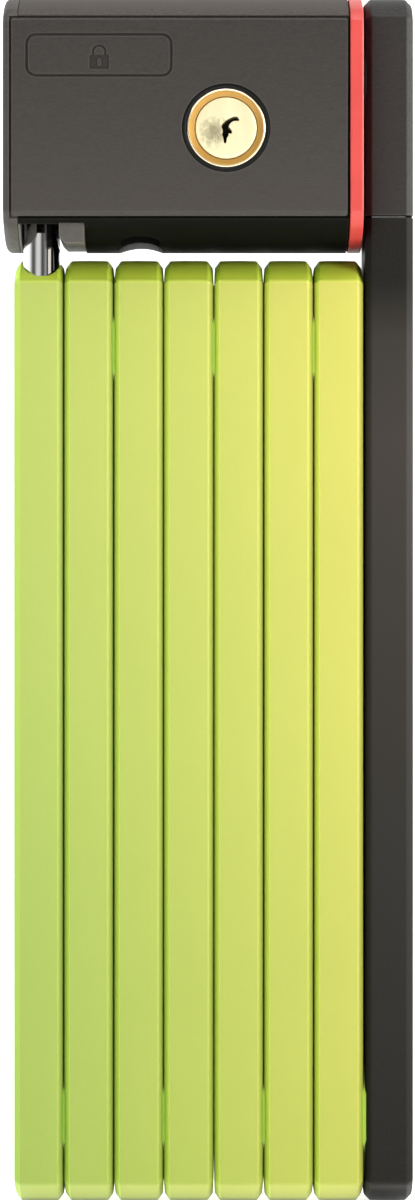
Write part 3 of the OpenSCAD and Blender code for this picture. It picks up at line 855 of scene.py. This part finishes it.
plug = turned("plug_face", [(0, -15.55), (1.5, -15.55), (3.0, -15.545), (4.2, -15.53), (4.42, -15.48), (4.54, -15.38), (4.57, -15.2), (4.57, 7.3), (0, 7.3)],
              PLUG, "lock_plug", ("plug",))
key = [(-0.72, 0.28), (-0.55, 0.66), (-0.15, 1.05), (0.35, 1.38), (0.95, 1.62), (1.45, 1.74), (1.72, 1.62), (1.98, 1.22), (1.86, 1.00),
       (1.40, 1.06), (0.92, 0.92), (0.52, 0.56), (0.36, 0.18), (0.58, -0.06), (0.82, -0.34), (0.90, -0.72), (0.66, -0.90), (0.40, -0.78),
       (0.30, -1.20), (0.10, -1.50), (0.02, -2.16), (-0.14, -2.32), (-0.32, -2.20), (-0.44, -1.50), (-0.62, -0.95), (-0.52, -0.42), (-0.60, -0.05)][::-1]
boolean(plug, prism_bm([(2.6 + x, 161.2 + z) for x, z in key], -20, 4, "Y"))
tidy(plug, 0.000003, 0.2)
finish_piece(plug, 0.04, 2, 45)

# ---------------------------------------------------------------- bolt head
def section(hx, hy, rf, n=14):
    """Cross-section of the head: flat flanks, rounded front and back."""
    cy = hy - rf
    a = math.degrees(math.acos(hx / rf)) if rf > hx else 0
    pts = arc(0, cy, rf, a, 180 - a, n) + arc(0, -cy, rf, 180 + a, 360 - a, n)
    return [(HEAD_X + p[0], p[1]) for p in pts]


def nose_outline():
    """Front outline of the nose: straight flanks that draw in to a blunt tip."""
    pts = []
    for i in range(0, 29):
        t = i / 28
        pts.append((2.75 - 1.7 * t ** 1.9, 142.9 + 5.3 * t))
    return pts


def head_part(name, y0, y1):
    return to_object(prism_bm(section(2.75, 8.2, 2.82, 28), 132.1, 152, "Z"), name, CHROME, "link_1", ("bolt_head",))


head = head_part("bolt_head_skin", -9, 9)
nose = nose_outline()
boolean(head, box_bm(HEAD_X + 2.55, HEAD_X + 5, 1.4, 12, 143.3, 160))
boolean(head, box_bm(HEAD_X - 5, HEAD_X - 2.7, 1.4, 12, 143.3, 160))
side_r = [(HEAD_X + 5, 142.9)] + [(HEAD_X + a, z) for a, z in nose] + [(HEAD_X + 1.0, 153), (HEAD_X + 5, 153)]
side_l = [(HEAD_X - 5, 142.9)] + [(HEAD_X - a, z) for a, z in nose] + [(HEAD_X - 1.0, 153), (HEAD_X - 5, 153)]
boolean(head, prism_bm(side_r, -12, 1.4, "Y"))
boolean(head, prism_bm(side_l, -12, 1.4, "Y"))
boolean(head, prism_bm([(20.55 * math.cos(2 * math.pi * i / 160), 128.9 + 20.55 * math.sin(2 * math.pi * i / 160)) for i in range(160)], -30, -20, "X"), "INTERSECT")
boolean(head, box_bm(HEAD_X - 0.65, HEAD_X + 0.65, -20, 1.4, 146.1, 160))
tidy(head, 0.000004, 0.3)
finish_piece(head, 0, smooth=22)

# ---------------------------------------------------------------- kept CAD nodes
for n, ob in NODES.items():
    if n.startswith("core_") or n.startswith("rivet_") or n in ("outer_core", "swivel_pin", "cam", "deadbolt"):
        ob.data.materials.clear()
        ob.data.materials.append(STEEL)


# ---------------------------------------------------------------- stage
def plain(name, color, rough=0.9, emit=0.0):
    k = Mat(name)
    n = k.noise(3, 2)
    c = k.ramp(n, [(0, tuple(v * 0.995 for v in color)), (1, color)])
    k.set(color=c, rough=rough, spec=0.1)
    if emit:
        k.b.inputs["Emission Color"].default_value = (1, 1, 1, 1)
        k.b.inputs["Emission Strength"].default_value = emit
    return k.m


def sweep_stage():
    """A floor that curves up into a backdrop."""
    bm = bmesh.new()
    prof = [(-5.0, 0), (4.0, 0)]
    for i in range(1, 13):
        a = math.radians(90 * i / 12)
        prof.append((4.0 + 1.0 * math.sin(a), 1.0 - 1.0 * math.cos(a)))
    prof.append((5.0, 4.0))
    rows = [[bm.verts.new((x, y, z - 0.0004)) for y, z in prof] for x in (-5, 5)]
    for i in range(len(prof) - 1):
        bm.faces.new((rows[0][i], rows[1][i], rows[1][i + 1], rows[0][i + 1]))
    me = bpy.data.meshes.new("floor")
    bmesh.ops.recalc_face_normals(bm, faces=bm.faces)
    bm.to_mesh(me)
    bm.free()
    ob = bpy.data.objects.new("floor", me)
    scene.collection.objects.link(ob)
    me.materials.append(plain("floor_white", (0.93, 0.93, 0.93), 0.9, 0.75))
    for p in me.polygons:
        p.use_smooth = True


sweep_stage()


def area(name, loc, target, size, power, color=(1, 1, 1)):
    d = bpy.data.lights.new(name, "AREA")
    d.shape = "RECTANGLE"
    d.size, d.size_y = size
    d.energy = power
    d.color = color
    o = bpy.data.objects.new(name, d)
    scene.collection.objects.link(o)
    o.location = loc
    o.rotation_euler = (Vector(target) - Vector(loc)).to_track_quat("-Z", "Y").to_euler()
    return o


area("key_right", (0.92, -0.72, 0.30), (0, 0, 0.09), (0.40, 0.9), 10.5, (1, 0.955, 0.86))
area("fill_left", (-0.8, -0.45, 0.9), (-0.02, 0, 0.15), (0.4, 0.4), 1.6, (0.97, 0.99, 1))
area("top_soft", (0.0, -0.25, 1.1), (0, 0, 0.1), (0.9, 0.6), 6)
area("rim_right", (0.34, 0.0, 0.26), (0.03, 0, 0.16), (0.14, 0.22), 1.05)
area("edge_left", (-0.17, -0.07, 0.29), (-0.028, -0.01, 0.172), (0.06, 0.06), 0.03)

def studio_world():
    """Soft light all round, with brighter and darker bands by compass direction."""
    w = bpy.data.worlds.new("studio")
    scene.world = w
    w.use_nodes = True
    t = w.node_tree
    t.nodes.clear()
    out = t.nodes.new("ShaderNodeOutputWorld")
    bg = t.nodes.new("ShaderNodeBackground")
    co = t.nodes.new("ShaderNodeTexCoord")
    sep = t.nodes.new("ShaderNodeSeparateXYZ")
    t.links.new(co.outputs["Generated"], sep.inputs[0])
    neg = t.nodes.new("ShaderNodeMath")
    neg.operation = "MULTIPLY"
    neg.inputs[1].default_value = -1
    t.links.new(sep.outputs[1], neg.inputs[0])
    at = t.nodes.new("ShaderNodeMath")
    at.operation = "ARCTAN2"
    t.links.new(sep.outputs[0], at.inputs[0])
    t.links.new(neg.outputs[0], at.inputs[1])
    mr = t.nodes.new("ShaderNodeMapRange")
    mr.inputs[1].default_value, mr.inputs[2].default_value = -math.pi, math.pi
    t.links.new(at.outputs[0], mr.inputs[0])
    ramp = t.nodes.new("ShaderNodeValToRGB")
    ramp.color_ramp.interpolation = "B_SPLINE"
    e = ramp.color_ramp.elements
    stops = [(-180, 1.0), (-135, 1.5), (-92, 1.75), (-70, 0.9), (-58, 0.08), (-40, 0.08), (-28, 1.0), (-8, 1.05), (2, 0.08), (14, 0.06), (30, 0.5),
             (46, 1.0), (58, 0.10), (96, 0.06), (150, 0.08), (166, 0.7), (180, 1.0)]
    stops = [(a, v / 2.2) for a, v in stops]
    e[0].position, e[0].color = 0.0, (stops[0][1],) * 3 + (1,)
    e[1].position, e[1].color = 1.0, (stops[-1][1],) * 3 + (1,)
    for a, v in stops[1:-1]:
        s_ = e.new((a + 180) / 360)
        s_.color = (v, v, v, 1)
    t.links.new(mr.outputs[0], ramp.inputs[0])
    up = t.nodes.new("ShaderNodeMapRange")
    up.inputs[1].default_value, up.inputs[2].default_value = 0.15, 0.8
    up.inputs[3].default_value, up.inputs[4].default_value = 0.0, 1.0
    t.links.new(sep.outputs[2], up.inputs[0])
    mix = t.nodes.new("ShaderNodeMix")
    mix.data_type = "RGBA"
    mix.inputs[7].default_value = (0.386, 0.386, 0.386, 1)
    t.links.new(up.outputs[0], mix.inputs[0])
    t.links.new(ramp.outputs[0], mix.inputs[6])
    lp = t.nodes.new("ShaderNodeLightPath")
    soft = t.nodes.new("ShaderNodeMix")
    soft.data_type = "RGBA"
    soft.inputs[7].default_value = (0.236, 0.227, 0.214, 1)
    t.links.new(lp.outputs["Is Diffuse Ray"], soft.inputs[0])
    t.links.new(mix.outputs[2], soft.inputs[6])
    t.links.new(soft.outputs[2], bg.inputs[0])
    bg.inputs[1].default_value = 1.65
    t.links.new(bg.outputs[0], out.inputs[0])


studio_world()

scene.view_settings.view_transform = "Standard"

cam_d = bpy.data.cameras.new("camera")
cam_d.lens = 150
cam_d.sensor_width = 36
cam_d.clip_start = 0.01
cam = bpy.data.objects.new("camera", cam_d)
scene.collection.objects.link(cam)
cam.location = (-0.00018, -0.759, 0.091)
cam.rotation_euler = (math.radians(90), 0, 0)
scene.camera = cam
